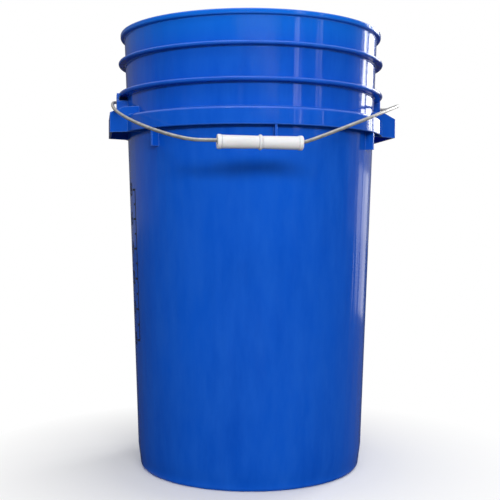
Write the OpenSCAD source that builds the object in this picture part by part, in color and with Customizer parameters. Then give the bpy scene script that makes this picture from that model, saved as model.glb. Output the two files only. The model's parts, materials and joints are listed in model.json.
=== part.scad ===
// Seven-gallon plastic fermenting bucket with a wire bail and a plastic grip.
// Millimetres. The origin is the centre of the foot ring, +Z is up, the bail
// hangs at the front (-Y) and the two ears stand on the X axis.

/* [Pail] */
// Overall height
height = 502; // [420:1:610]
// Outside diameter of the rim bead
rim_d = 304.8; // [250:0.2:370]
// Wall thickness
wall = 2.3; // [1.8:0.1:3.2]
// Draft angle of the wall in degrees
draft = 1.94; // [1.2:0.02:2.6]
// How far the rim bead stands out from the wall
bead_out = 4.5; // [3:0.1:6]
// Height of the rim bead
bead_h = 5.6; // [4.5:0.1:8]
// Rounding of the bead's edges
bead_round = 1.7; // [0.8:0.1:2]

/* [Base] */
// Thickness of the floor
floor_t = 2.8; // [2:0.1:4]
// Height of the heel, which tapers faster than the wall
heel_h = 26; // [20:1:40]
// Extra taper of the heel at the floor
heel_in = 2.4; // [1:0.1:4]
// Outside rounding under the heel
heel_round = 5; // [3:0.5:8]
// Inside rounding at the floor
inner_round = 5; // [3:0.5:8]
// Width of the ring that stands on the ground
foot_w = 8; // [6:0.5:14]
// How far the middle of the floor is raised above the foot ring
foot_rise = 3.5; // [2:0.1:6]

/* [Stiffening ribs] */
// How far both ribs stand out beyond the rim bead
rib_out = 2.3; // [0:0.1:5]
// Underside of the upper rib below the top of the pail
upper_rib_drop = 36.4; // [28:0.1:45]
// Thickness of the upper rib
upper_rib_t = 3.7; // [2.5:0.1:5]
// Underside of the lower rib below the top of the pail
lower_rib_drop = 73.3; // [62:0.1:85]
// Thickness of the lower rib
lower_rib_t = 4.7; // [2.5:0.1:6]

/* [Collar] */
// How far the collar stands out beyond the rim bead
collar_out = 2.1; // [0:0.1:5]
// Top of the collar below the top of the pail
collar_drop = 98; // [94:0.5:115]
// Height of the collar
collar_h = 19.5; // [15:0.5:28]
// Thickness of the collar's skirt and deck
collar_t = 2.5; // [2:0.1:3.5]
// Rounding of the collar's top edge
collar_round = 4; // [3:0.5:6]
// Thickness of each gusset
gusset_t = 2.5; // [2:0.1:3.5]
// How far the gussets reach below the collar
gusset_drop = 18.5; // [10:0.5:30]
// Angle between neighbouring gussets in degrees
gusset_step = 53.5; // [40:0.5:56]
// Gap between the skirt's outer face and a gusset's outer edge
gusset_inset = 1.5; // [1:0.1:2.5]

/* [Ears] */
// How far the ear's end plate stands out from the collar
ear_out = 10.9; // [8:0.1:16]
// Width of the ear across its end plate
ear_w = 81; // [60:1:95]
// Flare of the ear's side panels towards the pail in degrees
ear_flare = 25; // [6:0.5:30]
// Thickness of the ear's panels
ear_t = 2.5; // [2:0.1:3.5]
// Height of the side panels above the deck
ear_lip = 8.4; // [6:0.1:9.5]
// Height of the end plate above the deck
end_lip = 2.6; // [1.5:0.1:5]
// Length of the slope from the panel's top down to the end plate
ear_slope = 15.4; // [10:0.2:20]

/* [Bail bosses] */
// How far the boss plate stands out from the lower rib
boss_out = 2.3; // [1.5:0.1:4]
// Width of the boss
boss_w = 20; // [16:0.5:26]
// Thickness of the boss plate and its two webs
boss_t = 2.5; // [2:0.1:3]
// Top of the webs below the lower rib
web_drop = 4.6; // [3:0.1:9]
// Pivot hole below the lower rib
pivot_drop = 5.9; // [3.6:0.1:8]
// Running clearance of the wire in its hole, on the diameter
pivot_clear = 1.1; // [0.4:0.1:1.6]

/* [Bail] */
// Diameter of the wire
wire_d = 3.5; // [3:0.1:4.5]
// How far the upset heads stand out beyond their holes
head_over = 0.5; // [0.4:0.1:1.2]
// Length of an upset head
head_t = 1.5; // [1:0.1:2]
// Gap between a head and the back of the boss plate
head_gap = 2.5; // [0.5:0.1:4]
// Left hook, from the boss plate to the wire's centre
left_hook = 4; // [3.5:0.1:8]
// Right hook, from the boss plate to the wire's centre
right_hook = 12; // [8:0.5:28]
// Bend radius of both hooks
hook_r = 4.5; // [4:0.5:7]
// Distance from the rim's swing circle to the middle of the bow
bow_clear = 50.5; // [12:0.5:60]
// How much longer than the grip the straight run is
run_spare = 18.5; // [16:0.5:30]
// Centre of the straight run from the middle of the pail
run_x = -35.5; // [-45:0.5:0]
// Gap between the resting wire and the left ear's front panel
rest_gap = 0.3; // [0.1:0.05:0.5]
// Upward twist of the right leg out of the bow's plane in degrees
right_twist = 15.5; // [0:0.5:24]

/* [Grip] */
// Length of the grip
grip_l = 82.5; // [70:0.5:100]
// Centre of the grip from the centre of the straight run
grip_shift = 7.3; // [-7.5:0.1:7.5]
// Diameter of the grip's body at its ends
grip_d = 12.9; // [11.5:0.1:15]
// Diameter of the grip's body at the middle
grip_waist_d = 12.3; // [11:0.1:14.5]
// Diameter of the end collars
grip_end_d = 14.1; // [13:0.1:17]
// Width of an end collar
grip_end_w = 4.3; // [3:0.1:7]
// Diameter of the bead round the middle
grip_bead_d = 14.9; // [14:0.1:18]
// Width of the bead round the middle
grip_bead_w = 3.4; // [2.5:0.1:6]
// Clearance of the wire in the grip's bore, on the diameter
bore_clear = 3; // [1:0.1:4]
// Gap between the wire and the top of the bore
grip_gap = 0.25; // [0.15:0.05:0.5]

/* [Hidden] */
$fn = 96;
overlap = 1;

function wall_r(z) = rim_d / 2 - bead_out - (height - z) * tan(draft);
function lerp(a, b, t) = a + (b - a) * t;

// Pail levels and radii
foot_r = wall_r(0) - heel_in;
heel_r = wall_r(heel_h);
heel_lean = atan((heel_r - foot_r) / heel_h);
foot_outer_r = foot_r - heel_round / cos(heel_lean) + heel_round * tan(heel_lean);
foot_inner_r = foot_outer_r - foot_w;
upper_rib_z = height - upper_rib_drop;
lower_rib_z = height - lower_rib_drop;
deck_z = height - collar_drop;
skirt_z = deck_z - collar_h;
gusset_z = skirt_z - gusset_drop;
rib_r = rim_d / 2 + rib_out;
collar_r = rim_d / 2 + collar_out;
gusset_r = collar_r - gusset_inset;

// Ears and bosses
ear_x = collar_r + ear_out;
ear_root_x = (wall_r(deck_z) - wall / 2) * cos(26);
ear_root_half = ear_w / 2 + (ear_x - ear_root_x) * tan(ear_flare);
boss_x = rib_r + boss_out;
web_z = lower_rib_z - web_drop;
pivot_z = lower_rib_z - pivot_drop;
pivot_hole_d = wire_d + pivot_clear;
head_d = pivot_hole_d + 2 * head_over;

// Bail: in its own plane v runs along the pivot axis and u away from it
swing_r = norm([rim_d / 2, height - pivot_z]);
bow_u = swing_r + bow_clear;
head_x = boss_x - boss_t - head_gap;
left_x = boss_x + left_hook;
right_x = boss_x + right_hook;
left_turn = 83;
right_turn = 90.5;
wire_sides = 12;
hook_steps = 6;
bow_steps = 22;
run_l = grip_l + run_spare;
left_run_x = run_x - run_l / 2;
right_run_x = run_x + run_l / 2;

// Lengths of the bow's curve handles as shares of its depth
left_hook_pull = 0.344 * bow_u;
left_run_pull = 0.13 * bow_u;
right_hook_pull = 0.663 * bow_u;
right_run_pull = 0.0225 * bow_u;

// A radial bar with rounded outer corners, drawn in the (r, z) half plane
module ring_section(r_in, r_out, z, t, round_r) {
  e = min(round_r, t / 2);
  translate([r_in, z])
    square([r_out - e - r_in, t]);
  if (t > 2 * e)
    translate([r_in, z + e])
      square([r_out - r_in, t - 2 * e]);
  for (level = t > 2 * e ? [z + e, z + t - e] : [z + e])
    translate([r_out - e, level])
      circle(r = e, $fn = 32);
}

// The cup's outline, drawn in from the outer surface by t with its bottom at z
module cup_section(t, z, round_r) {
  slope = tan(heel_lean);
  bottom_r = foot_r - t + z * slope;
  corner_r = bottom_r + round_r * slope - round_r / cos(heel_lean);
  polygon([
    [0, z],
    [corner_r, z],
    [corner_r + round_r * cos(heel_lean), z + round_r - round_r * sin(heel_lean)],
    [heel_r - t, heel_h],
    [wall_r(height + overlap) - t, height + overlap],
    [0, height + overlap]
  ]);
  translate([corner_r, z + round_r])
    circle(r = round_r, $fn = 48);
}

module cup_wall_section() {
  panel_r = foot_inner_r + floor_t;
  difference() {
    union() {
      difference() {
        cup_section(0, 0, heel_round);
        cup_section(wall, floor_t, inner_round);
      }
      square([panel_r, foot_rise + floor_t]);
    }
    translate([-overlap, -overlap])
      square([foot_inner_r + overlap, foot_rise + overlap]);
    translate([-overlap, height])
      square([rim_d, 2 * overlap]);
    translate([-foot_r, -overlap])
      square([foot_r, height + 2 * overlap]);
  }
}

module pail_section() {
  seat = wall - 0.5;
  cup_wall_section();
  ring_section(wall_r(height) - seat, rim_d / 2, height - bead_h, bead_h, bead_round);
  ring_section(wall_r(upper_rib_z) - seat, rib_r, upper_rib_z, upper_rib_t, upper_rib_t / 2);
  ring_section(wall_r(lower_rib_z) - seat, rib_r, lower_rib_z, lower_rib_t, lower_rib_t / 2);
  collar_section(seat);
}

// The collar: a deck that turns down into a skirt, open underneath
module collar_section(seat) {
  outer_r = collar_r;
  difference() {
    union() {
      translate([wall_r(skirt_z), skirt_z])
        square([outer_r - wall_r(skirt_z), collar_h - collar_round]);
      translate([wall_r(skirt_z), deck_z - collar_round])
        square([outer_r - collar_round - wall_r(skirt_z), collar_round]);
      translate([outer_r - collar_round, deck_z - collar_round])
        circle(r = collar_round, $fn = 48);
    }
    polygon([
      [wall_r(skirt_z) - seat, skirt_z - overlap],
      [outer_r - collar_t, skirt_z - overlap],
      [outer_r - collar_t, deck_z - collar_t],
      [wall_r(deck_z) - seat / 2, deck_z - collar_t]
    ]);
  }
}

// Thin plates between the wall and the skirt, at the front and at the back
module gussets() {
  for (side = [0, 180])
    for (i = [-1 : 1])
      rotate([0, 0, side + 90 + i * gusset_step])
        translate([wall_r(gusset_z) - wall / 4, -gusset_t / 2, gusset_z])
          cube([gusset_r - wall_r(gusset_z) + wall / 4, gusset_t, deck_z - collar_t / 2 - gusset_z]);
}

// The ear's plan, drawn in by t: a trapezium that is wider towards the pail
module ear_plan(t) {
  shift = t / cos(ear_flare);
  polygon([
    [ear_root_x, -ear_root_half + shift],
    [ear_x - t, -ear_w / 2 + shift - t * tan(ear_flare)],
    [ear_x - t, ear_w / 2 - shift + t * tan(ear_flare)],
    [ear_root_x, ear_root_half - shift]
  ]);
}

// One ear: two side panels, an end plate and a deck, open underneath
module ear() {
  lip_z = deck_z + ear_lip;
  difference() {
    translate([0, 0, skirt_z])
      linear_extrude(lip_z - skirt_z)
        ear_plan(0);
    translate([0, 0, skirt_z - overlap])
      linear_extrude(collar_h - collar_t + overlap)
        ear_plan(ear_t);
    translate([0, 0, deck_z])
      linear_extrude(ear_lip + overlap)
        ear_plan(ear_t);
    // the panels' tops slope down to the end plate
    rotate([90, 0, 0])
      translate([0, 0, -ear_root_half - overlap])
        linear_extrude(2 * (ear_root_half + overlap))
          polygon([
            [ear_x - ear_slope, lip_z],
            [ear_x, deck_z + end_lip],
            [ear_x + overlap, deck_z + end_lip],
            [ear_x + overlap, lip_z + overlap],
            [ear_x - ear_slope, lip_z + overlap]
          ]);
    // everything inside the pail's wall is cut away
    translate([0, 0, skirt_z - overlap])
      cylinder(
        h = lip_z - skirt_z + 2 * overlap,
        r1 = wall_r(skirt_z - overlap) - wall / 2,
        r2 = wall_r(lip_z + overlap) - wall / 2,
        $fn = 192
      );
  }
}

// One bail boss: a drilled plate that joins the deck to the lower rib, and two webs behind it
module boss() {
  plate_h = lower_rib_z + lower_rib_t * 0.75 - deck_z;
  web_l = boss_x - wall_r(web_z) * cos(4) + wall / 2;
  difference() {
    union() {
      translate([boss_x - boss_t, -boss_w / 2, deck_z - collar_t / 2])
        cube([boss_t, boss_w, plate_h + collar_t / 2]);
      for (side = [-1, 1])
        translate([boss_x - web_l, side * (boss_w - boss_t) / 2 - boss_t / 2, deck_z - collar_t / 2])
          cube([web_l - boss_t / 2, boss_t, web_z - deck_z + collar_t / 2]);
      translate([rib_r - boss_t, -boss_w / 2, lower_rib_z])
        cube([boss_out + boss_t / 2, boss_w, lower_rib_t * 0.75]);
    }
    translate([boss_x - boss_t - overlap, 0, pivot_z])
      rotate([0, 90, 0])
        cylinder(h = boss_t + 2 * overlap, d = pivot_hole_d, $fn = 48);
  }
}

// The collar's skirt is left out inside an ear, so that each ear is one hollow box
module ear_pocket() {
  difference() {
    translate([0, 0, skirt_z - overlap])
      linear_extrude(collar_h - collar_t + overlap)
        ear_plan(ear_t);
    translate([0, 0, skirt_z - 2 * overlap])
      cylinder(h = collar_h + 2 * overlap, r = (wall_r(deck_z) + collar_r) / 2);
  }
}

module pail() {
  color([0.06, 0.3, 0.74]) {
    difference() {
      rotate_extrude($fn = 192)
        pail_section();
      for (side = [0, 180])
        rotate([0, 0, side])
          ear_pocket();
    }
    gussets();
    for (side = [0, 180])
      rotate([0, 0, side]) {
        ear();
        boss();
      }
  }
}

// Points of the wire, as [v, -u, lift] in the bail's own plane
function hook_dir(twist) = [0, -cos(twist), sin(twist)];
function hook_point(side, x, twist, turn) =
  [side * (x - hook_r + hook_r * sin(turn)), 0, 0] + hook_dir(twist) * hook_r * (1 - cos(turn));
function hook_tangent(side, twist, turn) = [side * cos(turn), 0, 0] + hook_dir(twist) * sin(turn);
function curve_point(a, b, c, d, t) =
  lerp(lerp(lerp(a, b, t), lerp(b, c, t), t), lerp(lerp(b, c, t), lerp(c, d, t), t), t);

left_end = hook_point(-1, left_x, 0, left_turn);
left_run = [left_run_x, -bow_u, 0];
right_end = hook_point(1, right_x, right_twist, right_turn);
right_run = [right_run_x, -bow_u, 0];
left_path = [
  for (i = [0 : hook_steps])
    hook_point(-1, left_x, 0, left_turn * i / hook_steps),
  for (i = [1 : bow_steps])
    curve_point(
      left_end,
      left_end + hook_tangent(-1, 0, left_turn) * left_hook_pull,
      left_run - [left_run_pull, 0, 0],
      left_run,
      i / bow_steps
    )
];
wire_path = [
  each left_path,
  for (i = [0 : bow_steps])
    curve_point(
      right_run,
      right_run + [right_run_pull, 0, 0],
      right_end + hook_tangent(1, right_twist, right_turn) * right_hook_pull,
      right_end,
      i / bow_steps
    ),
  for (i = [1 : hook_steps])
    hook_point(1, right_x, right_twist, right_turn * (1 - i / hook_steps))
];

// The left leg rests over the outer top edge of its ear's front panel, which leans across the wire
rest_x = lookup(ear_w / 2, [for (point = left_path) [-point[1], -point[0]]]);
rest_y = ear_w / 2 + (ear_x - rest_x) * tan(ear_flare);
rest_slope = (ear_lip - end_lip) / ear_slope;
rest_drop = pivot_z - deck_z - end_lip - rest_slope * min(ear_x - rest_x, ear_slope);
rest_lean = norm([1, rest_slope + tan(ear_flare) * rest_drop / rest_y]);
rest_off = (wire_d / 2 + rest_gap) * rest_lean;
bail_rest = acos(rest_off / norm([rest_y, rest_drop])) - atan2(rest_y, rest_drop);

// The grip hangs on the straight run of the wire
run_y = -bow_u * cos(bail_rest);
run_z = pivot_z - bow_u * sin(bail_rest);
grip_x = run_x + grip_shift;
grip_bore_d = wire_d + bore_clear;
grip_hang = bore_clear / 2 - grip_gap;

// A round tube of radius r swept along a path that never runs square to its plane
module tube(path, r, sides) {
  last = len(path) - 1;
  function along(i) = path[min(i + 1, last)] - path[max(i - 1, 0)];
  function unit(v) = v / norm(v);
  function ring(i) =
    let (
      dir = i == 0 ? [-1, 0, 0] : i == last ? [-1, 0, 0] : unit(along(i)),
      side = unit(cross([0, 0, 1], dir)),
      up = cross(dir, side)
    )
    [for (k = [0 : sides - 1]) path[i] + r * (cos(360 * k / sides) * side + sin(360 * k / sides) * up)];
  points = [for (i = [0 : last]) each ring(i)];
  skin = [
    for (i = [0 : last - 1])
      for (k = [0 : sides - 1])
        let (n = (k + 1) % sides)
        [i * sides + k, (i + 1) * sides + k, (i + 1) * sides + n, i * sides + n]
  ];
  polyhedron(
    points = points,
    faces = concat(
      [[for (k = [0 : sides - 1]) k]],
      skin,
      [[for (k = [sides - 1 : -1 : 0]) last * sides + k]]
    ),
    convexity = 8
  );
}

// The straight end of the wire on the pivot axis, from its head to the start of the hook
module bail_pin(side, hook_x) {
  rotate([0, side * 90, 0]) {
    translate([0, 0, head_x])
      cylinder(h = hook_x - hook_r - head_x, d = wire_d, $fn = 32);
    translate([0, 0, head_x - head_t])
      cylinder(h = head_t, d = head_d, $fn = 32);
  }
}

module bail() {
  color([0.66, 0.66, 0.64])
    translate([0, 0, pivot_z])
      rotate([bail_rest, 0, 0]) {
        tube(wire_path, wire_d / 2 * 0.99, wire_sides);
        bail_pin(-1, left_x);
        bail_pin(1, right_x);
      }
}

// The grip's outline, drawn as radius against length from one end
module grip_section() {
  middle = grip_l / 2;
  difference() {
    union() {
      polygon([
        [0, 0],
        [grip_d / 2, 0],
        [grip_waist_d / 2, middle],
        [grip_d / 2, grip_l],
        [0, grip_l]
      ]);
      ring_section(0, grip_end_d / 2, 0, grip_end_w, 1.2);
      ring_section(0, grip_end_d / 2, grip_l - grip_end_w, grip_end_w, 1.2);
      ring_section(0, grip_bead_d / 2, middle - grip_bead_w / 2, grip_bead_w, grip_bead_w / 2);
    }
    translate([-grip_bore_d, -overlap])
      square([grip_bore_d * 1.5, grip_l + 2 * overlap]);
  }
}

module grip() {
  color([0.93, 0.93, 0.92])
    translate([grip_x - grip_l / 2, run_y, run_z - grip_hang])
      rotate([0, 90, 0])
        rotate_extrude($fn = 64)
          grip_section();
}

pail();
bail();
grip();
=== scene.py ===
"""A plastic fermenting bucket with a wire bail: its finished surfaces, lights and camera.

Sizes are in millimetres and angles in degrees. mm() turns a size into metres, which is what every mesh
is built in. The bucket stands on z = 0, its ears are on the X axis and its bail hangs at the front, -Y.
"""
import json
import math

import bmesh
import bpy
from mathutils import Matrix, Vector


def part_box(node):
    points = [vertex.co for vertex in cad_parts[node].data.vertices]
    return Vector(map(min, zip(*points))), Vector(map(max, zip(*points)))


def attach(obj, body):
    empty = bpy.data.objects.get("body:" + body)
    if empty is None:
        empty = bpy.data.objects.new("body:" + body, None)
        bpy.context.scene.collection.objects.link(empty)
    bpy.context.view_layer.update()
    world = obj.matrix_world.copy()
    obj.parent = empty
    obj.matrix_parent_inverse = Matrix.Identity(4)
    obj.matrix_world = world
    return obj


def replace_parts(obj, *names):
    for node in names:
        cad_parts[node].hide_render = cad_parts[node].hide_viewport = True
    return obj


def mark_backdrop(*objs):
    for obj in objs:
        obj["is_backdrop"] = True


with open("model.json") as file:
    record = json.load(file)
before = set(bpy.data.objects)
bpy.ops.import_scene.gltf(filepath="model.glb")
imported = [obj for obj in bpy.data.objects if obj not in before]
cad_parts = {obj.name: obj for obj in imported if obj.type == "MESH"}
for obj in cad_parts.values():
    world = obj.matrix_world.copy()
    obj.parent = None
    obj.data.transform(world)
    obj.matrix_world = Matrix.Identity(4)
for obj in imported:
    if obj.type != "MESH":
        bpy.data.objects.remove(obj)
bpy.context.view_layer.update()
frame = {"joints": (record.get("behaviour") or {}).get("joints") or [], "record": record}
JOINTS = {joint["name"]: joint for joint in frame["joints"]}


def mm(*sizes):
    """Millimetres to metres: one number, or a Vector of several."""
    metres = [size / 1000 for size in sizes]
    return metres[0] if len(metres) == 1 else Vector(metres)


# ---- Sizes that the frame gives ----

PAIL_LOW, PAIL_HIGH = [corner * 1000 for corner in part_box("pail")]
GRIP_LOW, GRIP_HIGH = [corner * 1000 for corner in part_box("grip")]
HEIGHT = PAIL_HIGH.z
EAR_X = PAIL_HIGH.x
RIB_R = PAIL_HIGH.y
RIM_R = next(m for m in frame["record"]["mounts"] if m["name"] == "lid_rim")["dims"]["r_mm"]
PIVOT_Z = JOINTS["bail_swing"]["pos_m"][2] * 1000

# ---- Sizes of the pail ----

WALL = 2.3
DRAFT = 1.94
BEAD_OUT = 4.5
BEAD_H = 5.6
BEAD_ROUND = 1.7
LIP_ROUND = 0.9
FLOOR_T = 2.8
HEEL_H = 26
HEEL_IN = 2.4
HEEL_ROUND = 5
INNER_ROUND = 5
FOOT_W = 8
FOOT_RISE = 3.5
FOOT_ROUND = 0.8
GATE_R = 3.5
GATE_H = 0.9
GATE_ROUND = 0.4
ROOT_FILLET = 1.2
UPPER_RIB_DROP = 36.4
UPPER_RIB_T = 3.7
LOWER_RIB_DROP = 73.3
LOWER_RIB_T = 4.7
COLLAR_R = 154.5
COLLAR_DROP = 98
COLLAR_H = 19.5
COLLAR_T = 2.5
COLLAR_ROUND = 4
GUSSET_T = 2.5
GUSSET_DROP = 18.5
GUSSET_STEP = 53.5
GUSSET_INSET = 1.5
EAR_W = 81
EAR_FLARE = 25
EAR_ROOT_AZIMUTH = 26
EAR_T = 2.5
EAR_LIP = 8.4
END_LIP = 2.6
EAR_SLOPE = 15.4
BOSS_OUT = 2.3
BOSS_W = 20
BOSS_T = 2.5
WEB_DROP = 4.6
PIVOT_HOLE_R = 2.3
EDGE_ROUND = 0.5
EAR_ROUND = 1.15
LEDGE_H = 2.4
LEDGE_IN = 0.95
SIDES = 192
# How far a tool or a root runs past the surface that it cuts or joins
PAST = 5

# ---- Sizes of the printed volume scale ----

SCALE_FIRST = 8
SCALE_LAST = 18
SCALE_LINE_AZIMUTH = -76.5
SCALE_TICK_L = 5
SCALE_TICK_W = 2.2
SCALE_LONG = 1.8
SCALE_GAP = 2.5
DIGIT_H = 15
DIGIT_W = 1.5
# A digit's height as a share of the font's size
DIGIT_SHARE = 0.7
INK_T = 0.1
INK_ROOT = 0.25
LITRE = 1e6

# ---- Sizes of the bail and its grip ----

WIRE_R = 1.75
HEAD_R = 2.8
HEAD_T = 1.5
HEAD_ROUND = 0.5
HEAD_GAP = 2.5
LEFT_HOOK = 4
RIGHT_HOOK = 12
HOOK_R = 4.5
LEFT_TURN = 83
RIGHT_TURN = 90.5
RIGHT_TWIST = 15.5
RUN_L = 101
RUN_X = -35.5
LEFT_HOOK_PULL = 0.344
LEFT_RUN_PULL = 0.13
RIGHT_HOOK_PULL = 0.663
RIGHT_RUN_PULL = 0.0225
GRIP_BORE_R = 3.25
GRIP_HANG = 1.25
GRIP_BODY_R = 6.45
GRIP_WAIST_R = 6.15
GRIP_END_R = 7.05
GRIP_END_W = 4.3
GRIP_BEAD_W = 3.4
GRIP_EDGE = 1.2
GRIP_ROOT = 0.5
BORE_EDGE = 0.6

# ---- Levels and radii that follow ----


def sin(degrees):
    return math.sin(math.radians(degrees))


def cos(degrees):
    return math.cos(math.radians(degrees))


def tan(degrees):
    return math.tan(math.radians(degrees))


def wall_r(z):
    """The wall's outer radius at height z."""
    return RIM_R - BEAD_OUT - (HEIGHT - z) * tan(DRAFT)


FOOT_R = wall_r(0) - HEEL_IN
HEEL_LEAN = math.degrees(math.atan((wall_r(HEEL_H) - FOOT_R) / HEEL_H))
UPPER_RIB_Z = HEIGHT - UPPER_RIB_DROP
LOWER_RIB_Z = HEIGHT - LOWER_RIB_DROP
DECK_Z = HEIGHT - COLLAR_DROP
SKIRT_Z = DECK_Z - COLLAR_H
GUSSET_Z = SKIRT_Z - GUSSET_DROP
EAR_ROOT_X = (wall_r(DECK_Z) - WALL / 2) * cos(EAR_ROOT_AZIMUTH)
EAR_ROOT_HALF = EAR_W / 2 + (EAR_X - EAR_ROOT_X) * tan(EAR_FLARE)
BOSS_X = RIB_R + BOSS_OUT
WEB_Z = LOWER_RIB_Z - WEB_DROP
GRIP_Y = (GRIP_LOW.y + GRIP_HIGH.y) / 2
GRIP_Z = (GRIP_LOW.z + GRIP_HIGH.z) / 2
# The grip hangs on the wire, so the bail's reach and its angle at rest follow from the grip's place
RUN_DROP = PIVOT_Z - GRIP_Z - GRIP_HANG
BOW_U = math.hypot(GRIP_Y, RUN_DROP)
BAIL_REST = math.degrees(math.atan2(RUN_DROP, -GRIP_Y))


# ---- Mesh helpers ----


def mesh_object(name, verts, edges=(), faces=()):
    """A new object at the origin whose mesh is given in millimetres."""
    mesh = bpy.data.meshes.new(name)
    mesh.from_pydata([mm(*v) for v in verts], edges, faces)
    made = bpy.data.objects.new(name, mesh)
    bpy.context.collection.objects.link(made)
    return made


def settle(obj):
    """Turns an object's modifiers into plain mesh and removes them."""
    graph = bpy.context.evaluated_depsgraph_get()
    graph.update()
    mesh = bpy.data.meshes.new_from_object(obj.evaluated_get(graph))
    mesh.name = obj.name
    obj.modifiers.clear()
    obj.data = mesh
    return obj


def discard(*objects):
    for obj in objects:
        bpy.data.objects.remove(obj)


def repair(obj, gap=0.002):
    """Merges doubled points and points every face outwards."""
    work = bmesh.new()
    work.from_mesh(obj.data)
    bmesh.ops.remove_doubles(work, verts=work.verts, dist=mm(gap))
    bmesh.ops.dissolve_degenerate(work, edges=work.edges, dist=mm(gap / 4))
    bmesh.ops.recalc_face_normals(work, faces=work.faces)
    work.to_mesh(obj.data)
    work.free()
    return obj


def combine(target, tools, operation):
    """Joins solids to the target, or cuts them from it, and throws the tools away."""
    for tool in tools:
        change = target.modifiers.new(operation, "BOOLEAN")
        change.operation = operation
        change.solver = "MANIFOLD"
        change.object = tool
    settle(target)
    discard(*tools)
    return target


def soften(obj, width, segments=2, angle=30):
    """Rounds every edge that turns by more than the angle."""
    bevel = obj.modifiers.new("soft edges", "BEVEL")
    bevel.limit_method = "ANGLE"
    bevel.angle_limit = math.radians(angle)
    bevel.width = mm(width)
    bevel.segments = segments
    bevel.use_clamp_overlap = True
    return settle(obj)


def shade(obj, angle=38):
    """Smooth shading that keeps flat faces flat and turns sharp only past the angle."""
    work = bmesh.new()
    work.from_mesh(obj.data)
    for face in work.faces:
        face.smooth = True
    for edge in work.edges:
        edge.smooth = edge.calc_face_angle(0) < math.radians(angle)
    work.to_mesh(obj.data)
    work.free()
    weigh = obj.modifiers.new("even shading", "WEIGHTED_NORMAL")
    weigh.keep_sharp = True
    return settle(obj)


def prism(name, outline, low, high):
    """A solid of the outline, a list of (x, y) points, from height low to height high."""
    count = len(outline)
    verts = [(x, y, z) for z in (low, high) for x, y in outline]
    faces = [[(i + 1) % count + count, i + count, i, (i + 1) % count] for i in range(count)]
    faces += [list(range(count))[::-1], list(range(count, 2 * count))]
    return repair(mesh_object(name, verts, faces=faces))


def box_outline(x0, x1, half_y):
    return [(x0, -half_y), (x1, -half_y), (x1, half_y), (x0, half_y)]


def turned(obj, degrees):
    """Turns an object's mesh about the pail's axis."""
    obj.data.transform(Matrix.Rotation(math.radians(degrees), 4, "Z"))
    return obj


def arc(centre_r, centre_z, radius, start, end, steps=5):
    """Points of a round, from one angle to another."""
    angles = [start + (end - start) * i / steps for i in range(steps + 1)]
    return [(centre_r + radius * cos(a), centre_z + radius * sin(a)) for a in angles]


# ---- Geometry Nodes helpers ----


def new_tree(name, inputs):
    """A Geometry Nodes tree with named inputs, given as {name: (socket type, default)}."""
    tree = bpy.data.node_groups.new(name, "GeometryNodeTree")
    tree.interface.new_socket("Geometry", in_out="INPUT", socket_type="NodeSocketGeometry")
    for title, (kind, default) in inputs.items():
        socket = tree.interface.new_socket(title, in_out="INPUT", socket_type=kind)
        if default is not None:
            socket.default_value = default
    tree.interface.new_socket("Geometry", in_out="OUTPUT", socket_type="NodeSocketGeometry")
    return tree, tree.nodes.new("NodeGroupInput"), tree.nodes.new("NodeGroupOutput")


def add(tree, kind, values=(), links=(), **settings):
    """Adds a node, sets its sockets by name or index, links others into it and sets its options."""
    node = tree.nodes.new(kind)
    for option, value in settings.items():
        setattr(node, option, value)
    for key, value in dict(values).items():
        node.inputs[key].default_value = value
    for key, source in dict(links).items():
        tree.links.new(source, node.inputs[key])
    return node


def maths(tree, operation, *operands):
    """A Math node; each operand is a number or a socket."""
    node = tree.nodes.new("ShaderNodeMath")
    node.operation = operation
    for slot_index, operand in enumerate(operands):
        if isinstance(operand, (int, float)):
            node.inputs[slot_index].default_value = operand
        else:
            tree.links.new(operand, node.inputs[slot_index])
    return node.outputs[0]


def finish_tree(tree, start, end, geometry):
    """Ends a tree: what it made becomes real mesh and takes the material."""
    real = add(tree, "GeometryNodeRealizeInstances", links={"Geometry": geometry})
    done = add(tree, "GeometryNodeSetMaterial", links={
        "Geometry": real.outputs["Geometry"], "Material": start.outputs["Material"]})
    tree.links.new(done.outputs["Geometry"], end.inputs["Geometry"])
    return tree


def run_tree(obj, tree, material, **values):
    """Runs a tree on an object with its inputs set by identifier, and keeps the mesh that it makes."""
    change = obj.modifiers.new(tree.name, "NODES")
    change.node_group = tree
    values["Material"] = material
    for item in tree.interface.items_tree:
        if item.in_out == "INPUT" and item.name in values:
            change[item.identifier] = values[item.name]
    return settle(obj)


def lathe_tree():
    """Turns an outline, drawn as radius in X and height in -Y, round the Z axis."""
    tree, start, end = new_tree("lathe", {
        "Sides": ("NodeSocketInt", 64),
        "Material": ("NodeSocketMaterial", None),
    })
    # The outline is swept round a tiny circle, whose radius is then taken off it again
    hub = mm(1)
    circle = add(tree, "GeometryNodeCurvePrimitiveCircle", {"Radius": hub}, {
        "Resolution": start.outputs["Sides"]})
    shifted = add(tree, "GeometryNodeTransform", {"Translation": (-hub, 0, 0)}, {
        "Geometry": start.outputs["Geometry"]})
    outline = add(tree, "GeometryNodeMeshToCurve", links={"Mesh": shifted.outputs["Geometry"]})
    swept = add(tree, "GeometryNodeCurveToMesh", links={
        "Curve": circle.outputs["Curve"], "Profile Curve": outline.outputs["Curve"]})
    merged = add(tree, "GeometryNodeMergeByDistance", {"Distance": mm(0.002)}, {
        "Geometry": swept.outputs["Mesh"]})
    return finish_tree(tree, start, end, merged.outputs["Geometry"])


def lathe(name, outline, material, sides=SIDES, closed=False):
    """A turned solid. An open outline starts and ends on the axis; a closed one stays clear of it."""
    count = len(outline)
    edges = [(i, i + 1) for i in range(count - 1)]
    if closed:
        edges.append((count - 1, 0))
    obj = mesh_object(name, [(r, -z, 0) for r, z in outline], edges)
    return repair(run_tree(obj, LATHE, material, Sides=sides))


LATHE = lathe_tree()


# ---- Materials ----

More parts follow.
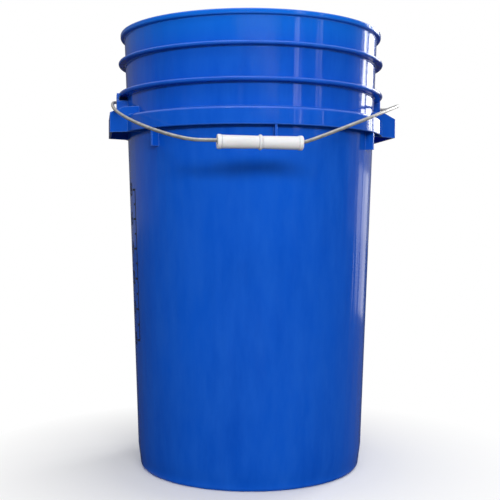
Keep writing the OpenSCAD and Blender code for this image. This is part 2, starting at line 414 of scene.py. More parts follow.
BLUE_DEEP = (0.0019, 0.0685, 0.463)
BLUE_CLEAR = (0.0019, 0.081, 0.526)
BLUE_PALE_STREAK = (0.0078, 0.097, 0.535)
# Painted light: a lighter blue for the band just under the rim
BLUE_PAINTED_LIGHT = (0.003, 0.135, 0.64)
# Partly scuffed plastic, partly a painted highlight along thin edges
BLUE_SCUFF_AND_HIGHLIGHT = (0.09, 0.23, 0.68)
ZINC_LIGHT = (0.42, 0.41, 0.39)
ZINC_DARK = (0.28, 0.28, 0.265)
WHITE_CLEAN = (0.665, 0.665, 0.68)
WHITE_MARKED = (0.6, 0.6, 0.605)
INK_WHOLE = (0.012, 0.018, 0.035)
INK_RUBBED = (0.01, 0.045, 0.2)


def new_material(name, **sockets):
    """A material whose shader has the given values on its own sockets, and a place for its pattern."""
    made = bpy.data.materials.new(name)
    made.use_nodes = True
    tree = made.node_tree
    shader = tree.nodes["Principled BSDF"]
    for title, value in sockets.items():
        shader.inputs[title.replace("_", " ")].default_value = value
    place = tree.nodes.new("ShaderNodeTexCoord").outputs["Object"]
    return made, tree, shader, place


def noise(tree, place, scale, detail=3.0, stretch=(1, 1, 1), roughness=0.5):
    """A noise pattern; scale is in features per metre, and stretch draws it out along an axis."""
    mapping = add(tree, "ShaderNodeMapping", {"Scale": stretch}, {"Vector": place})
    pattern = add(tree, "ShaderNodeTexNoise",
                  {"Scale": scale, "Detail": detail, "Roughness": roughness},
                  {"Vector": mapping.outputs["Vector"]})
    return pattern.outputs["Fac"]


def spread(tree, value, low, high, to_low=0.0, to_high=1.0):
    """Maps a pattern from one range to another, held at both ends."""
    node = add(tree, "ShaderNodeMapRange",
               {"From Min": low, "From Max": high, "To Min": to_low, "To Max": to_high},
               {"Value": value})
    return node.outputs["Result"]


def tint(tree, factor, first, second):
    """A colour that goes from the first to the second with the factor."""
    node = add(tree, "ShaderNodeMix", data_type="RGBA")
    node.inputs["A"].default_value = (*first, 1)
    node.inputs["B"].default_value = (*second, 1)
    tree.links.new(factor, node.inputs["Factor"])
    return node.outputs["Result"]


def cover(tree, under, factor, colour):
    """Lays a plain colour over another colour, as far as the factor says."""
    node = add(tree, "ShaderNodeMix", links={"Factor": factor}, data_type="RGBA")
    node.inputs["B"].default_value = (*colour, 1)
    tree.links.new(under, node.inputs["A"])
    return node.outputs["Result"]


def emboss(tree, shader, height, distance):
    """Bump from a height pattern; distance is the height in millimetres."""
    node = add(tree, "ShaderNodeBump", {"Distance": mm(distance), "Strength": 1.0}, {"Height": height})
    tree.links.new(node.outputs["Normal"], shader.inputs["Normal"])


def blue_plastic():
    """Royal blue polyethylene: satin gloss, clouding and paler streaks, orange peel, scuffed edges with a
    painted highlight, and painted light under the rim.
    """
    made, tree, shader, place = new_material("blue polyethylene", Specular_IOR_Level=0.4)
    clouding = noise(tree, place, 14, 4, (1, 1, 0.35))
    colour = tint(tree, spread(tree, clouding, 0.3, 0.7), BLUE_DEEP, BLUE_CLEAR)
    # Paler, greyer streaks at random over the wall
    streaks = noise(tree, place, 60, 6, (1, 1, 0.28), 0.65)
    colour = cover(tree, colour, spread(tree, streaks, 0.35, 0.65, 0, 0.7), BLUE_PALE_STREAK)
    # Painted light: the colour is lighter just under the open rim, where light comes through the thin
    # wall
    height = add(tree, "ShaderNodeSeparateXYZ", links={"Vector": place}).outputs["Z"]
    through = spread(tree, height, mm(UPPER_RIB_Z - 6), mm(HEIGHT - BEAD_H), 0, 0.75)
    colour = cover(tree, colour, through, BLUE_PAINTED_LIGHT)
    # The thin plates' crisp edges are painted lighter: partly scuffs, partly a painted highlight
    rounded = add(tree, "ShaderNodeBevel", {"Radius": mm(1.5)}, samples=4)
    flat = add(tree, "ShaderNodeNewGeometry").outputs["Normal"]
    turn = add(tree, "ShaderNodeVectorMath", links={
        0: rounded.outputs["Normal"], 1: flat}, operation="DOT_PRODUCT")
    worn = spread(tree, turn.outputs["Value"], 0.99, 0.93, 0, 0.75)
    colour = cover(tree, colour, worn, BLUE_SCUFF_AND_HIGHLIGHT)
    tree.links.new(colour, shader.inputs["Base Color"])
    rubbed = spread(tree, noise(tree, place, 90, 6, (1, 1, 0.12), 0.62), 0.56, 0.74)
    cloudy_gloss = spread(tree, clouding, 0.3, 0.7, 0.09, 0.13)
    rubbed_gloss = spread(tree, rubbed, 0, 1, 0, 0.12)
    tree.links.new(maths(tree, "ADD", cloudy_gloss, rubbed_gloss), shader.inputs["Roughness"])
    peel = noise(tree, place, 700, 2)
    flow = noise(tree, place, 110, 2, (1, 1, 0.03), 0.4)
    emboss(tree, shader, maths(tree, "ADD", maths(tree, "MULTIPLY", peel, 0.03), flow), 0.4)
    return made


def galvanised_wire():
    """Zinc-coated steel wire: dull grey, with faint lengthwise draw lines and darker worn patches."""
    made, tree, shader, place = new_material("galvanised wire", Metallic=0.4)
    patches = noise(tree, place, 160, 5)
    drawn = noise(tree, place, 900, 2, (0.12, 1, 1))
    colour = tint(tree, spread(tree, patches, 0.35, 0.7), ZINC_LIGHT, ZINC_DARK)
    tree.links.new(colour, shader.inputs["Base Color"])
    tree.links.new(spread(tree, patches, 0.3, 0.7, 0.28, 0.42), shader.inputs["Roughness"])
    emboss(tree, shader, maths(tree, "ADD", patches, maths(tree, "MULTIPLY", drawn, 0.4)), 0.05)
    return made


def white_plastic():
    """White polyethylene for the grip: satin, a little clouded, with faint handling marks."""
    made, tree, shader, place = new_material(
        "white polyethylene", Specular_IOR_Level=0.2, Subsurface_Weight=0.12, Subsurface_Scale=mm(2))
    marks = spread(tree, noise(tree, place, 120, 6, (0.3, 1, 1), 0.6), 0.5, 0.75)
    tree.links.new(tint(tree, marks, WHITE_CLEAN, WHITE_MARKED), shader.inputs["Base Color"])
    tree.links.new(spread(tree, marks, 0, 1, 0.36, 0.5), shader.inputs["Roughness"])
    emboss(tree, shader, noise(tree, place, 500, 3), 0.04)
    return made


def printed_ink():
    """Dark ink, slightly broken up where it has rubbed off."""
    made, tree, shader, place = new_material("printed ink", Specular_IOR_Level=0.2)
    worn = spread(tree, noise(tree, place, 260, 5, roughness=0.6), 0.55, 0.72)
    tree.links.new(tint(tree, worn, INK_WHOLE, INK_RUBBED), shader.inputs["Base Color"])
    tree.links.new(spread(tree, worn, 0, 1, 0.55, 0.4), shader.inputs["Roughness"])
    return made


BLUE = blue_plastic()
WIRE = galvanised_wire()
WHITE = white_plastic()
INK = printed_ink()


# ---- The pail ----


def ring_points(z, thickness, outer_r):
    """A rib's outline on the wall, going up: root fillet, underside, round edge, top and root fillet."""
    top = z + thickness
    edge = thickness / 2
    return [
        *arc(wall_r(z) + ROOT_FILLET, z - ROOT_FILLET, ROOT_FILLET, 180, 90),
        *arc(outer_r - edge, z + edge, edge, -90, 90, 8),
        *arc(wall_r(top) + ROOT_FILLET, top + ROOT_FILLET, ROOT_FILLET, 270, 180),
    ]


def cup_outline():
    """The cup's outline, from the middle of its underside up the wall, over the rim and back inside."""
    heel_r = FOOT_R - HEEL_ROUND / cos(HEEL_LEAN) + HEEL_ROUND * tan(HEEL_LEAN)
    ring_r = heel_r - FOOT_W
    panel_r = ring_r + FLOOR_T
    panel_z = FOOT_RISE + FLOOR_T
    inner_r = FOOT_R - WALL + FLOOR_T * tan(HEEL_LEAN)
    inner_r += INNER_ROUND * tan(HEEL_LEAN) - INNER_ROUND / cos(HEEL_LEAN)
    bead_z = HEIGHT - BEAD_H
    mouth_r = wall_r(HEIGHT) - WALL
    return [
        (0, FOOT_RISE - GATE_H),
        *arc(GATE_R - GATE_ROUND, FOOT_RISE - GATE_H + GATE_ROUND, GATE_ROUND, -90, 0, 3),
        (GATE_R, FOOT_RISE),
        *arc(ring_r - FOOT_ROUND, FOOT_RISE - FOOT_ROUND, FOOT_ROUND, 90, 0, 3),
        *arc(ring_r + FOOT_ROUND, FOOT_ROUND, FOOT_ROUND, 180, 270, 3),
        *arc(heel_r, HEEL_ROUND, HEEL_ROUND, -90, -HEEL_LEAN, 9),
        (wall_r(HEEL_H), HEEL_H),
        *ring_points(LOWER_RIB_Z, LOWER_RIB_T, RIB_R),
        *ring_points(UPPER_RIB_Z, UPPER_RIB_T, RIB_R),
        *arc(wall_r(bead_z) + ROOT_FILLET, bead_z - ROOT_FILLET, ROOT_FILLET, 180, 90),
        *arc(RIM_R - BEAD_ROUND, bead_z + BEAD_ROUND, BEAD_ROUND, -90, 0),
        *arc(RIM_R - BEAD_ROUND, HEIGHT - BEAD_ROUND, BEAD_ROUND, 0, 90),
        *arc(mouth_r + LIP_ROUND, HEIGHT - LIP_ROUND, LIP_ROUND, 90, 180),
        (wall_r(HEEL_H) - WALL, HEEL_H),
        *arc(inner_r, FLOOR_T + INNER_ROUND, INNER_ROUND, -HEEL_LEAN, -90, 8),
        *arc(panel_r + FOOT_ROUND, FLOOR_T + FOOT_ROUND, FOOT_ROUND, 270, 180, 3),
        *arc(panel_r - FOOT_ROUND, panel_z - FOOT_ROUND, FOOT_ROUND, 0, 90, 3),
        (0, panel_z),
    ]


def collar_outline():
    """The collar's closed outline: a deck that turns down into a skirt, with its back inside the wall."""
    inner_r = COLLAR_R - COLLAR_T
    under_z = DECK_Z - COLLAR_T
    lip = COLLAR_T / 2
    inside = COLLAR_ROUND - COLLAR_T
    return [
        (wall_r(under_z) - WALL / 2, under_z),
        *arc(wall_r(under_z) + ROOT_FILLET, under_z - ROOT_FILLET, ROOT_FILLET, 180, 90),
        *arc(inner_r - inside, under_z - inside, inside, 90, 0),
        *arc(inner_r + lip, SKIRT_Z + lip, lip, 180, 360, 6),
        *arc(COLLAR_R - COLLAR_ROUND, DECK_Z - COLLAR_ROUND, COLLAR_ROUND, 0, 90, 7),
        *arc(wall_r(DECK_Z) + ROOT_FILLET, DECK_Z + ROOT_FILLET, ROOT_FILLET, 270, 180),
        (wall_r(DECK_Z) - WALL / 2, DECK_Z + ROOT_FILLET),
    ]


def ear_outline(inset):
    """The ear's plan, drawn in by an inset: a trapezium that is wider towards the pail."""
    shift = inset / cos(EAR_FLARE)
    end_half = EAR_W / 2 - shift + inset * tan(EAR_FLARE)
    root_half = EAR_ROOT_HALF - shift
    end_x = EAR_X - inset
    return [(EAR_ROOT_X, -root_half), (end_x, -end_half), (end_x, end_half), (EAR_ROOT_X, root_half)]


def wall_core(low, high):
    """What lies inside the middle of the wall, to trim the pieces that root in it."""
    low_r, high_r = wall_r(low) - WALL / 2, wall_r(high) - WALL / 2
    return lathe("core", [(0, low), (low_r, low), (high_r, high), (0, high)], BLUE)


def ear_pocket():
    """The hollow under an ear's deck."""
    return prism("pocket", ear_outline(EAR_T), SKIRT_Z - PAST, DECK_Z - COLLAR_T)


def ear():
    """One ear on the +X side: two side panels, an end plate and a deck, open underneath."""
    top = DECK_Z + EAR_LIP
    body = prism("ear", ear_outline(0), SKIRT_Z, top)
    slope = [
        (EAR_X - EAR_SLOPE, top),
        (EAR_X + PAST, DECK_Z + END_LIP - PAST * (EAR_LIP - END_LIP) / EAR_SLOPE),
        (EAR_X + PAST, top + PAST),
        (EAR_X - EAR_SLOPE, top + PAST),
    ]
    wedge = prism("wedge", slope, -EAR_ROOT_HALF - PAST, EAR_ROOT_HALF + PAST)
    wedge.data.transform(Matrix.Rotation(math.radians(90), 4, "X"))
    above = prism("above", ear_outline(EAR_T), DECK_Z, top + PAST)
    core = wall_core(SKIRT_Z - PAST, top + PAST)
    combine(body, [ear_pocket(), above, wedge, core], "DIFFERENCE")
    return soften(body, EAR_ROUND, 3)


def web(outer, top, slope_h, slope_in):
    """A plate behind the boss's face, its far side at outer in Y; its top edge there slopes in."""
    side = math.copysign(1, outer)
    outline = [
        (outer - side * BOSS_T, DECK_Z - COLLAR_T / 2),
        (outer, DECK_Z - COLLAR_T / 2),
        (outer, top - slope_h),
        (outer - side * slope_in, top),
        (outer - side * BOSS_T, top),
    ]
    made = prism("web", outline, wall_r(top) - 2, BOSS_X - BOSS_T + 1)
    made.data.transform(Matrix(((0, 0, 1, 0), (1, 0, 0, 0), (0, 1, 0, 0), (0, 0, 0, 1))))
    return repair(made)


def boss():
    """One bail boss on the +X side: a drilled plate up to the lower rib, a ledge web and a full web."""
    root = DECK_Z - COLLAR_T / 2
    top = LOWER_RIB_Z + LOWER_RIB_T * 0.75
    back_x = BOSS_X - BOSS_T
    body = prism("boss", box_outline(back_x, BOSS_X, BOSS_W / 2), root, top)
    full_web = web(-BOSS_W / 2, LOWER_RIB_Z + 1, LEDGE_H, 0.1)
    ledge_web = web(BOSS_W / 2, WEB_Z, LEDGE_H, LEDGE_IN)
    bridge = prism("bridge", box_outline(RIB_R - BOSS_T, BOSS_X - 0.1, BOSS_W / 2), LOWER_RIB_Z, top)
    combine(body, [full_web, ledge_web, bridge], "UNION")
    hole = lathe("hole", [(0, -10), (PIVOT_HOLE_R, -10), (PIVOT_HOLE_R, 10), (0, 10)], BLUE, 32)
    pivot = Matrix.Translation(mm(BOSS_X, 0, PIVOT_Z))
    hole.data.transform(pivot @ Matrix.Rotation(math.radians(90), 4, "Y"))
    combine(body, [hole], "DIFFERENCE")
    return soften(body, EDGE_ROUND, 3)


def gusset_tree():
    """Repeats one plate round the pail: a row of them at the front and the same row at the back."""
    tree, start, end = new_tree("gussets", {
        "Plates in a row": ("NodeSocketInt", 3),
        "Step": ("NodeSocketFloat", math.radians(50)),
        "Material": ("NodeSocketMaterial", None),
    })
    row = start.outputs["Plates in a row"]
    total = maths(tree, "MULTIPLY", row, 2.0)
    points = add(tree, "GeometryNodePoints", links={"Count": total})
    index = add(tree, "GeometryNodeInputIndex").outputs["Index"]
    middle = maths(tree, "DIVIDE", maths(tree, "SUBTRACT", row, 1.0), 2.0)
    place = maths(tree, "SUBTRACT", maths(tree, "MODULO", index, row), middle)
    half_turn = maths(tree, "MULTIPLY", maths(tree, "FLOOR", maths(tree, "DIVIDE", index, row)), math.pi)
    from_front = maths(tree, "ADD", maths(tree, "MULTIPLY", place, start.outputs["Step"]), half_turn)
    angle = maths(tree, "ADD", from_front, math.pi / 2)
    turn = add(tree, "ShaderNodeCombineXYZ", links={"Z": angle})
    copies = add(tree, "GeometryNodeInstanceOnPoints", links={
        "Points": points.outputs["Points"],
        "Instance": start.outputs["Geometry"],
        "Rotation": turn.outputs["Vector"],
    })
    return finish_tree(tree, start, end, copies.outputs["Instances"])


def gussets():
    """Thin plates between the wall and the skirt."""
    outline = box_outline(wall_r(GUSSET_Z) - WALL / 4, COLLAR_R - GUSSET_INSET, GUSSET_T / 2)
    plate = soften(prism("gussets", outline, GUSSET_Z, DECK_Z - COLLAR_T / 2), EDGE_ROUND, 2)
    return run_tree(plate, gusset_tree(), BLUE, Step=math.radians(GUSSET_STEP))


def pail():
    """The whole moulding: cup, ribs, rim bead, collar, gussets, ears and bosses, joined into one skin."""
    body = lathe("pail_moulding", cup_outline(), BLUE)
    collar = lathe("collar", collar_outline(), BLUE, closed=True)
    gap_r = (wall_r(DECK_Z) + COLLAR_R) / 2
    pockets = []
    for side in (0, 180):
        keep = lathe("keep", [(0, 0), (gap_r, 0), (gap_r, HEIGHT), (0, HEIGHT)], BLUE)
        pockets.append(turned(combine(ear_pocket(), [keep], "DIFFERENCE"), side))
    combine(collar, pockets, "DIFFERENCE")
    fittings = [turned(make(), side) for side in (0, 180) for make in (ear, boss)]
    combine(body, [collar, gussets(), *fittings], "UNION")
    body.data.materials.clear()
    body.data.materials.append(BLUE)
    return shade(repair(body, 0.001))


# ---- The printed volume scale ----


def scale_inputs():
    """What a tree needs to know of the cup's inside: its radius at the floor, slope and floor level."""
    return {
        "Floor radius": wall_r(FLOOR_T) - WALL,
        "Slope": tan(DRAFT),
        "Floor level": FLOOR_T,
    }


def fill_level(tree, start, litres):
    """The height, in millimetres, at which the tapered cup holds a number of litres."""
    radius, slope, floor_z = (start.outputs[name] for name in scale_inputs())
    solid = maths(tree, "MULTIPLY", litres, 3 * LITRE / math.pi)
    cubed = maths(tree, "ADD", maths(tree, "POWER", radius, 3.0), maths(tree, "MULTIPLY", solid, slope))
    widened = maths(tree, "SUBTRACT", maths(tree, "POWER", cubed, 1 / 3), radius)
    return maths(tree, "ADD", floor_z, maths(tree, "DIVIDE", widened, slope))


def tick_tree():
    """Repeats a tick up the scale, one for each litre, and draws out every second one."""
    tree, start, end = new_tree("ticks", {
        "First litre": ("NodeSocketInt", SCALE_FIRST),
        "Ticks": ("NodeSocketInt", SCALE_LAST - SCALE_FIRST + 1),
        "Long tick": ("NodeSocketFloat", SCALE_LONG),
        **{name: ("NodeSocketFloat", value) for name, value in scale_inputs().items()},
        "Material": ("NodeSocketMaterial", None),
    })
    points = add(tree, "GeometryNodePoints", links={"Count": start.outputs["Ticks"]})
    index = add(tree, "GeometryNodeInputIndex").outputs["Index"]
    litres = maths(tree, "ADD", index, start.outputs["First litre"])
    level = maths(tree, "MULTIPLY", fill_level(tree, start, litres), mm(1))
    place = add(tree, "ShaderNodeCombineXYZ", links={"Y": level})
    even = maths(tree, "SUBTRACT", 1.0, maths(tree, "MODULO", litres, 2.0))
    longer = maths(tree, "SUBTRACT", start.outputs["Long tick"], 1.0)
    reach = maths(tree, "ADD", 1.0, maths(tree, "MULTIPLY", even, longer))
    size = add(tree, "ShaderNodeCombineXYZ", {"Y": 1.0, "Z": 1.0}, {"X": reach})
    raised = add(tree, "GeometryNodeSetPosition", links={
        "Geometry": points.outputs["Points"], "Position": place.outputs["Vector"]})
    copies = add(tree, "GeometryNodeInstanceOnPoints", links={
        "Points": raised.outputs["Geometry"],
        "Instance": start.outputs["Geometry"],
        "Scale": size.outputs["Vector"],
    })
    return finish_tree(tree, start, end, copies.outputs["Instances"])


def wrap_tree():
    """Bends a flat print, across in X and up in Y, round the pail's wall; its thickness is in Z."""
    tree, start, end = new_tree("wrap", {
        "Foot radius": ("NodeSocketFloat", wall_r(0)),
        "Slope": ("NodeSocketFloat", tan(DRAFT)),
        "Heading": ("NodeSocketFloat", 0.0),
        "Material": ("NodeSocketMaterial", None),
    })
    across, up, out = add(tree, "ShaderNodeSeparateXYZ", links={
        "Vector": add(tree, "GeometryNodeInputPosition").outputs["Position"]}).outputs
    foot = maths(tree, "MULTIPLY", start.outputs["Foot radius"], mm(1))
    skin = maths(tree, "ADD", foot, maths(tree, "MULTIPLY", up, start.outputs["Slope"]))
    angle = maths(tree, "ADD", start.outputs["Heading"], maths(tree, "DIVIDE", across, skin))
    radius = maths(tree, "ADD", skin, out)
    place = add(tree, "ShaderNodeCombineXYZ", links={
        "X": maths(tree, "MULTIPLY", radius, maths(tree, "SINE", angle)),
        "Y": maths(tree, "MULTIPLY", maths(tree, "MULTIPLY", radius, maths(tree, "COSINE", angle)), -1.0),
        "Z": up,
    })
    bent = add(tree, "GeometryNodeSetPosition", links={
        "Geometry": start.outputs["Geometry"], "Position": place.outputs["Vector"]})
    return finish_tree(tree, start, end, bent.outputs["Geometry"])


def litre_level(litres):
    """The same height as fill_level, worked out here to place a number beside its tick."""
    radius, slope, floor_z = scale_inputs().values()
    return floor_z + ((radius ** 3 + 3 * slope * litres * LITRE / math.pi) ** (1 / 3) - radius) / slope


def number(value):
    """A flat plain number, centred on its tick's height and ending at the tick's far end."""
    curve = bpy.data.curves.new("number", "FONT")
    curve.body = str(value)
    curve.size = mm(DIGIT_H / DIGIT_SHARE)
    curve.align_x, curve.align_y = "RIGHT", "CENTER"
    curve.extrude = mm((INK_T + INK_ROOT) / 2)
    curve.offset = mm(DIGIT_W / 4)
    curve.resolution_u = 3
    made = bpy.data.objects.new("number", curve)
    bpy.context.collection.objects.link(made)
    graph = bpy.context.evaluated_depsgraph_get()
    graph.update()
    mesh = bpy.data.meshes.new_from_object(made.evaluated_get(graph))
    discard(made)
    flat = bpy.data.objects.new("number", mesh)
    bpy.context.collection.objects.link(flat)
    far_end = -SCALE_TICK_L * SCALE_LONG - SCALE_GAP
    mesh.transform(Matrix.Translation(mm(far_end, litre_level(value), (INK_T - INK_ROOT) / 2)))
    return flat


def bar(name, left, right, low, high, steps):
    """A flat printed bar, cut into steps across so that it can bend."""
    verts, faces = [], []
    for i in range(steps + 1):
        x = left + (right - left) * i / steps
        verts += [(x, low, -INK_ROOT), (x, high, -INK_ROOT), (x, high, INK_T), (x, low, INK_T)]
    sides = ((0, 1), (1, 2), (2, 3), (3, 0))
    for i in range(steps):
        faces += [[4 * i + a, 4 * i + b, 4 * i + 4 + b, 4 * i + 4 + a] for a, b in sides]
    faces += [[0, 1, 2, 3], [4 * steps + k for k in (3, 2, 1, 0)]]
    return repair(mesh_object(name, verts, faces=faces))


def volume_scale():
    """Printed ticks for the litres, a line beside them and a number at every second tick."""
    half = SCALE_TICK_W / 2
    ticks = bar("volume_scale", -SCALE_TICK_L, 0, -half, half, 8)
    run_tree(ticks, tick_tree(), INK)
    bottom, top = litre_level(SCALE_FIRST) - half, litre_level(SCALE_LAST) + half
    side = bar("line", 0, SCALE_TICK_W, bottom, top, 1)
    pieces = [side, *[number(value) for value in range(SCALE_FIRST, SCALE_LAST + 1, 2)]]
    work = bmesh.new()
    for piece in [ticks, *pieces]:
        work.from_mesh(piece.data)
    work.to_mesh(ticks.data)
    work.free()
    discard(*pieces)
    run_tree(ticks, wrap_tree(), INK, Heading=math.radians(SCALE_LINE_AZIMUTH))
    return shade(repair(ticks, 0.001))


# ---- The bail ----


def hook_dir(twist):
    return Vector((0, -cos(twist), sin(twist)))


def hook_point(side, x, twist, turn):
    along = Vector((side * (x - HOOK_R + HOOK_R * sin(turn)), 0, 0))
    return along + hook_dir(twist) * HOOK_R * (1 - cos(turn))


def hook_tangent(side, twist, turn):
    return Vector((side * cos(turn), 0, 0)) + hook_dir(twist) * sin(turn)


def curve_points(a, b, c, d, steps):
    """Points of the smooth curve from a to d, with handles at b and c."""
    points = []
    for t in (i / steps for i in range(1, steps + 1)):
        back = 1 - t
        points.append(back ** 3 * a + 3 * back ** 2 * t * b + 3 * back * t ** 2 * c + t ** 3 * d)
    return points


def bail_route():
    """The wire's middle line from the left head to the right one, in the bail's own plane."""
    head_x = BOSS_X - BOSS_T - HEAD_GAP
    left_x, right_x = BOSS_X + LEFT_HOOK, BOSS_X + RIGHT_HOOK
    left_end = hook_point(-1, left_x, 0, LEFT_TURN)
    right_end = hook_point(1, right_x, RIGHT_TWIST, RIGHT_TURN)
    left_run = Vector((RUN_X - RUN_L / 2, -BOW_U, 0))
    right_run = Vector((RUN_X + RUN_L / 2, -BOW_U, 0))
    along = Vector((BOW_U, 0, 0))
    turns = [i / 9 for i in range(10)]
    left_handle = left_end + hook_tangent(-1, 0, LEFT_TURN) * LEFT_HOOK_PULL * BOW_U
    right_handle = right_end + hook_tangent(1, RIGHT_TWIST, RIGHT_TURN) * RIGHT_HOOK_PULL * BOW_U
    return [
        Vector((-head_x, 0, 0)),
        *[hook_point(-1, left_x, 0, LEFT_TURN * t) for t in turns],
        *curve_points(left_end, left_handle, left_run - along * LEFT_RUN_PULL, left_run, 40),
        *curve_points(right_run, right_run + along * RIGHT_RUN_PULL, right_handle, right_end, 48),
        *[hook_point(1, right_x, RIGHT_TWIST, RIGHT_TURN * t) for t in turns[-2::-1]],
        Vector((head_x, 0, 0)),
    ]


def wire_tree():
    """Sweeps a round section along a line of points and closes its ends."""
    tree, start, end = new_tree("wire", {
        "Radius": ("NodeSocketFloat", mm(2)),
        "Sides": ("NodeSocketInt", 20),
        "Material": ("NodeSocketMaterial", None),
    })
    route = add(tree, "GeometryNodeMeshToCurve", links={"Mesh": start.outputs["Geometry"]})
    section = add(tree, "GeometryNodeCurvePrimitiveCircle", links={
        "Resolution": start.outputs["Sides"], "Radius": start.outputs["Radius"]})
    swept = add(tree, "GeometryNodeCurveToMesh", {"Fill Caps": True}, {
        "Curve": route.outputs["Curve"], "Profile Curve": section.outputs["Curve"]})
    return finish_tree(tree, start, end, swept.outputs["Mesh"])


def bail():
    """The bent wire with an upset head at each end, lying as it rests on the ears."""
    route = bail_route()
    wire = mesh_object("bail_wire", route, [(i, i + 1) for i in range(len(route) - 1)])
    run_tree(wire, wire_tree(), WIRE, Radius=mm(WIRE_R), Sides=20)
    heads = []
    for side in (-1, 1):
        outline = [
            (0, -HEAD_T),
            *arc(HEAD_R - HEAD_ROUND, HEAD_ROUND - HEAD_T, HEAD_ROUND, -90, 0, 3),
            *arc(HEAD_R - HEAD_ROUND, -HEAD_ROUND, HEAD_ROUND, 0, 90, 3),
            (0, 0),
        ]
        head = lathe("head", outline, WIRE, 24)
        tip = Matrix.Translation(mm(*route[0 if side < 0 else -1]))
        head.data.transform(tip @ Matrix.Rotation(math.radians(side * 90), 4, "Y"))
        heads.append(head)
    combine(repair(wire), heads, "UNION")
    pivot = Matrix.Translation(mm(0, 0, PIVOT_Z))
    wire.data.transform(pivot @ Matrix.Rotation(math.radians(BAIL_REST), 4, "X"))
    return shade(wire)


# ---- The grip ----


def grip():
    """A moulded tube with a collar at each end and a bead round its middle."""
    length = GRIP_HIGH.x - GRIP_LOW.x
    middle = length / 2
    bead_r = (GRIP_HIGH.z - GRIP_LOW.z) / 2
    edge, root, bead = GRIP_EDGE, GRIP_ROOT, GRIP_BEAD_W / 2
    half = [
        *arc(GRIP_BORE_R + BORE_EDGE, BORE_EDGE, BORE_EDGE, 180, 270, 4),
        *arc(GRIP_END_R - edge, edge, edge, -90, 0),
        *arc(GRIP_END_R - edge, GRIP_END_W - edge, edge, 0, 90),
        *arc(GRIP_BODY_R + root, GRIP_END_W + root, root, 270, 180, 4),
        *arc(GRIP_WAIST_R + root, middle - bead - root, root, 180, 90, 4),
        *arc(bead_r - bead, middle, bead, -90, 0, 8),
    ]
    outline = half + [(r, length - z) for r, z in half[::-1]]
    tube = lathe("grip_tube", outline, WHITE, 64, closed=True)
    left_end = Matrix.Translation(mm(GRIP_LOW.x, GRIP_Y, GRIP_Z))
    tube.data.transform(left_end @ Matrix.Rotation(math.radians(90), 4, "Y"))
    return shade(tube)


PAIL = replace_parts(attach(pail(), "pail"), "pail")
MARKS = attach(volume_scale(), "pail")
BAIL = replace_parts(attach(bail(), "bail"), "bail")
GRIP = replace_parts(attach(grip(), "grip"), "grip")


# ---- Floor, light and camera ----

FLOOR_HALF = 6000
# The floor fades to white between these distances, in metres from the pail's axis
FADE_FROM = 0.16
FADE_TO = 0.36
# How bright the floor is to the camera, to the pail's skin and in a reflection
FLOOR_SEEN = 0.8
FLOOR_BOUNCE = 0.18
FLOOR_MIRRORED = 0.03
# How far, in metres, a surface may be from the floor and still be lit through it
RECESS_REACH = 0.012
# The surround's plain light, and what shows in a reflection: low down, overhead and at two sides
AROUND_LIGHT = 0.6
MIRROR_DIM = 0.03
MIRROR_LOW = 0.3
MIRROR_TOP = 2.4
MIRROR_SIDES = {125: (38, 0.35), -140: (45, 0.22)}
CAMERA_AZIMUTH = -10
CAMERA_DISTANCE = 1050.5
CAMERA_Z = 283.3
CAMERA_PITCH = -1.7
CAMERA_ROLL = 0.19
CAMERA_LENS = 63.5


def floor():
    """A pale floor that keeps the bucket's shadow and fades to white further out."""
    low, high = -FLOOR_HALF, FLOOR_HALF
    corners = [(low, low, 0), (high, low, 0), (high, high, 0), (low, high, 0)]
    ground = mesh_object("floor", corners, faces=[(0, 1, 2, 3)])
    made, tree, shader, place = new_material("pale floor", Roughness=0.7, Specular_IOR_Level=0.1)
    distance = add(tree, "ShaderNodeVectorMath", links={"Vector": place}, operation="LENGTH")
    far = spread(tree, distance.outputs["Value"], FADE_FROM, FADE_TO)
    path = add(tree, "ShaderNodeLightPath")
    seen, mirrored = path.outputs["Is Camera Ray"], path.outputs["Is Glossy Ray"]
    unseen = maths(tree, "MULTIPLY_ADD", mirrored, FLOOR_MIRRORED - FLOOR_BOUNCE, FLOOR_BOUNCE)
    level = add(tree, "ShaderNodeMix", {"B": FLOOR_SEEN}, {"Factor": seen, "A": unseen})
    tree.links.new(level.outputs["Result"], shader.inputs["Base Color"])
    white = add(tree, "ShaderNodeEmission", {"Color": (1, 1, 1, 1), "Strength": 1.0})
    blend = add(tree, "ShaderNodeMixShader", links={0: maths(tree, "MULTIPLY", far, seen)})
    tree.links.new(shader.outputs["BSDF"], blend.inputs[1])
    tree.links.new(white.outputs["Emission"], blend.inputs[2])
    # The floor is clear from below and lets light into the foot recess, so that the underside shows
    close = maths(tree, "LESS_THAN", path.outputs["Ray Length"], RECESS_REACH)
    below = maths(tree, "MAXIMUM", add(tree, "ShaderNodeNewGeometry").outputs["Backfacing"], close)
    clear = add(tree, "ShaderNodeBsdfTransparent")
    sided = add(tree, "ShaderNodeMixShader", links={
        0: below, 1: blend.outputs["Shader"], 2: clear.outputs["BSDF"]})
    tree.links.new(sided.outputs["Shader"], tree.nodes["Material Output"].inputs["Surface"])
    ground.data.materials.append(made)
    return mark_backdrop(ground)


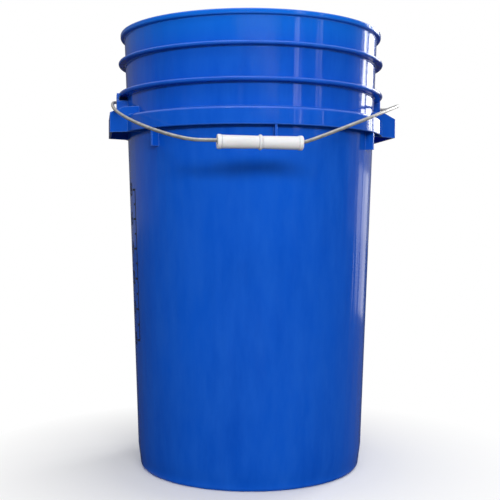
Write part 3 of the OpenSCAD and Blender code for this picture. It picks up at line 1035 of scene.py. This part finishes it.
def studio():
    """A white surround for the camera, an even light, and dim reflections that brighten overhead."""
    world = bpy.data.worlds.new("studio")
    bpy.context.scene.world = world
    world.use_nodes = True
    tree = world.node_tree
    path = add(tree, "ShaderNodeLightPath")
    heading = add(tree, "ShaderNodeTexCoord").outputs["Generated"]
    above = add(tree, "ShaderNodeSeparateXYZ", links={"Vector": heading}).outputs["Z"]
    mirrored = spread(tree, above, MIRROR_LOW, 1, MIRROR_DIM, MIRROR_TOP)
    for azimuth, (width, bright) in MIRROR_SIDES.items():
        side = Vector(around(azimuth, 1, 0))
        facing = add(tree, "ShaderNodeVectorMath", {1: side}, {0: heading}, operation="DOT_PRODUCT")
        glow = spread(tree, facing.outputs["Value"], cos(width), 1, 0, bright)
        mirrored = maths(tree, "ADD", mirrored, glow)
    even = add(tree, "ShaderNodeMix", {"A": AROUND_LIGHT}, {
        "Factor": path.outputs["Is Glossy Ray"], "B": mirrored})
    direct = maths(tree, "MAXIMUM", path.outputs["Is Camera Ray"], path.outputs["Is Transmission Ray"])
    level = add(tree, "ShaderNodeMix", {"B": 1.0}, {"Factor": direct, "A": even.outputs["Result"]})
    tree.links.new(level.outputs["Result"], tree.nodes["Background"].inputs["Strength"])
    tree.nodes["Background"].inputs["Color"].default_value = (1, 1, 1, 1)


def lamp(name, place, target, width, height, watts, roll):
    """A rectangular soft light that looks from its place at a target, rolled about its own axis."""
    data = bpy.data.lights.new(name, "AREA")
    data.shape = "RECTANGLE"
    data.size, data.size_y = mm(width), mm(height)
    data.energy = watts
    made = bpy.data.objects.new(name, data)
    bpy.context.collection.objects.link(made)
    made.location = mm(*place)
    aim = (mm(*target) - made.location).to_track_quat("-Z", "Y").to_matrix()
    made.rotation_euler = (aim @ Matrix.Rotation(math.radians(roll), 3, "Z")).to_euler()
    return made


def around(azimuth, distance, z):
    """A place at an azimuth from the front, anticlockwise seen from above."""
    return (distance * sin(azimuth), -distance * cos(azimuth), z)


def camera():
    data = bpy.data.cameras.new("camera")
    data.lens = CAMERA_LENS
    data.sensor_width = 36
    data.clip_end = 50
    made = bpy.data.objects.new("camera", data)
    bpy.context.collection.objects.link(made)
    made.location = mm(*around(CAMERA_AZIMUTH, CAMERA_DISTANCE, CAMERA_Z))
    turn = Matrix.Rotation(math.radians(CAMERA_AZIMUTH), 4, "Z")
    tilt = Matrix.Rotation(math.radians(90 + CAMERA_PITCH), 4, "X")
    roll = Matrix.Rotation(math.radians(CAMERA_ROLL), 4, "Z")
    made.rotation_euler = (turn @ tilt @ roll).to_euler()
    bpy.context.scene.camera = made


# Name, place, what it looks at, width and height, watts and roll
LAMPS = [
    ("key", around(-5, 1560, 715), (0, 0, 350), (1000, 170), 16, -10),
    ("overhead", around(-8, 1000, 1650), (0, 0, 420), (1400, 160), 4.5, 0),
    ("side strip", around(109, 1500, 870), (0, 0, 450), (140, 740), 3.2, 0),
    ("wide side strip", around(126, 1500, 870), (0, 0, 450), (440, 740), 8, 0),
    ("low side strip", around(109, 1500, 150), (0, 0, 250), (140, 500), 0.28, 0),
    ("low wide side strip", around(126, 1500, 150), (0, 0, 250), (440, 500), 0.85, 0),
    ("narrow strip", around(29, 1500, 700), (0, 0, 450), (110, 500), 0.5, 0),
    ("second narrow strip", around(49, 1500, 700), (0, 0, 450), (60, 500), 0.22, 0),
]

floor()
studio()
for lamp_name, lamp_place, lamp_target, lamp_size, lamp_watts, lamp_roll in LAMPS:
    made_lamp = lamp(lamp_name, lamp_place, lamp_target, *lamp_size, lamp_watts, lamp_roll)
    # The key shapes the ribs and the shadow, and its own reflection would hide them
    made_lamp.visible_glossy = lamp_name != "key"
camera()
bpy.context.scene.view_settings.view_transform = "Standard"
